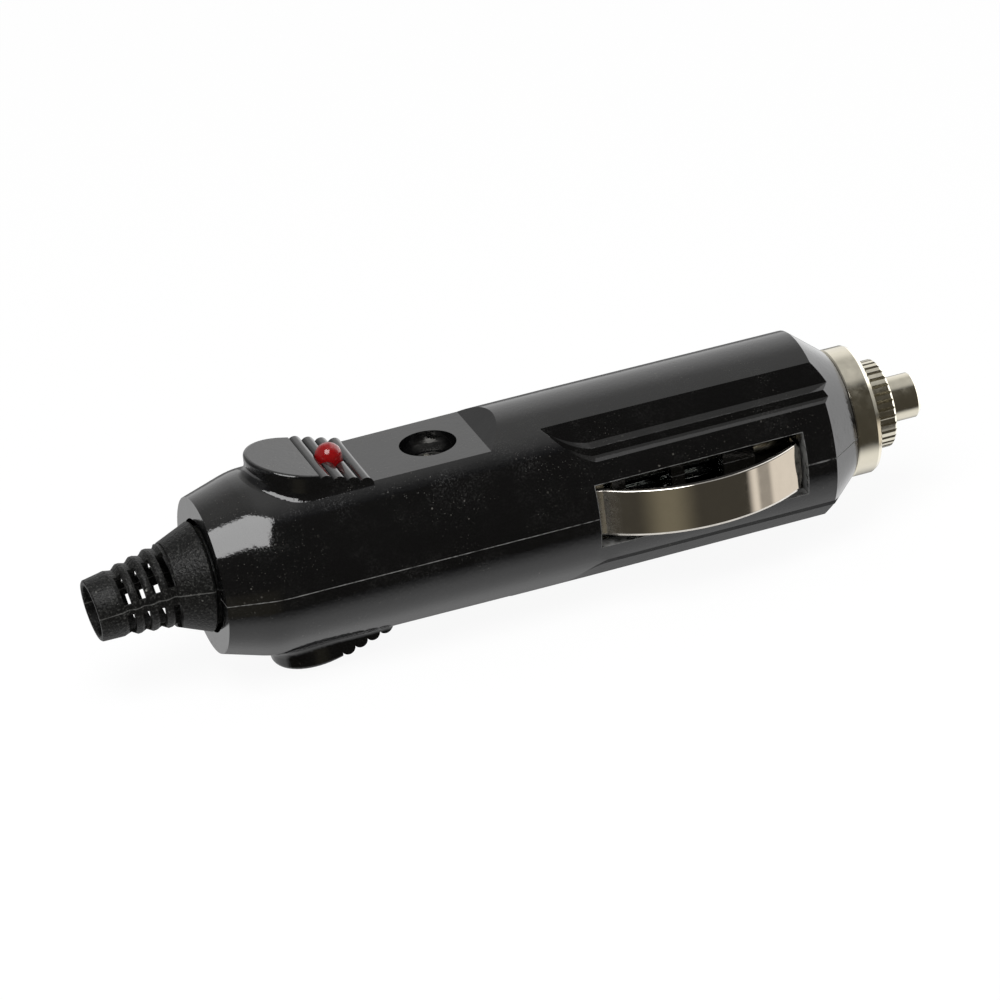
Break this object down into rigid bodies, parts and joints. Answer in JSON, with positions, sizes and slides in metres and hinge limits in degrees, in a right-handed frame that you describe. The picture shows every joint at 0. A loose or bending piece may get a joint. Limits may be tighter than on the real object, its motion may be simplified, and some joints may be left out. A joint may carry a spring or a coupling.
{
  "type": "cigarette lighter plug",
  "caption": "Fused twelve volt vehicle power plug with sprung tip pin, bowed side contacts, thumb grips, indicator lamp and slotted cable boot.",
  "frame": {"origin": "on the plug's axis at the rear end of the full round barrel, in front of the sloping shoulder", "axes": "+X along the plug's axis towards the tip pin; +Z towards the half with the screw and the lamp; the two halves part on Z = 0"},
  "size_m": [0.0951, 0.0266, 0.0244],
  "materials": {
    "gloss_black_plastic": "gloss moulded",
    "black_rubber": "matte, finely grained",
    "nickel": "nickel plated, bright",
    "spring_steel": "nickel plated spring strip",
    "steel": "zinc plated",
    "brass": "stamped sheet",
    "tinned_wire": "tinned copper wire",
    "black_insulation": "wire insulation",
    "red_lens": "translucent red epoxy",
    "glass": "clear",
    "resistor_body": "coated"
  },
  "bodies": {
    "housing": {"upper_shell": "gloss_black_plastic", "lower_shell": "gloss_black_plastic", "case_screw": "steel", "cable_boot": "black_rubber", "indicator_lamp": "red_lens", "lamp_anode_lead": "tinned_wire", "lamp_cathode_lead": "black_insulation", "resistor": "resistor_body", "resistor_front_lead": "tinned_wire", "resistor_rear_lead": "tinned_wire", "contact_link_wire": "black_insulation", "spring_terminal": "brass", "tip_spring": "steel"},
    "tip": {"tip_pin": "nickel", "fuse_front_cap": "nickel", "fuse_rear_cap": "nickel", "fuse_glass": "glass", "fuse_wire": "tinned_wire"},
    "nose_cap": {"nose_cap": "nickel"},
    "left_contact": {"left_contact": "spring_steel"},
    "right_contact": {"right_contact": "spring_steel"}
  },
  "joints": [
    {"name": "tip_press", "type": "slide", "parent": "housing", "child": "tip", "axis": [-1, 0, 0], "range_m": [0, 0.003], "stiffness_N_per_m": 1500, "deforming": ["tip_spring"]},
    {"name": "left_contact_press", "type": "slide", "parent": "housing", "child": "left_contact", "axis": [0, -1, 0], "range_m": [0, 0.0032], "stiffness_N_per_m": 2500},
    {"name": "right_contact_press", "type": "slide", "parent": "housing", "child": "right_contact", "axis": [0, 1, 0], "range_m": [0, 0.0032], "stiffness_N_per_m": 2500},
    {"name": "nose_cap_unscrew", "type": "slide", "parent": "housing", "child": "nose_cap", "axis": [1, 0, 0], "range_m": [0, 0.01]}
  ]
}
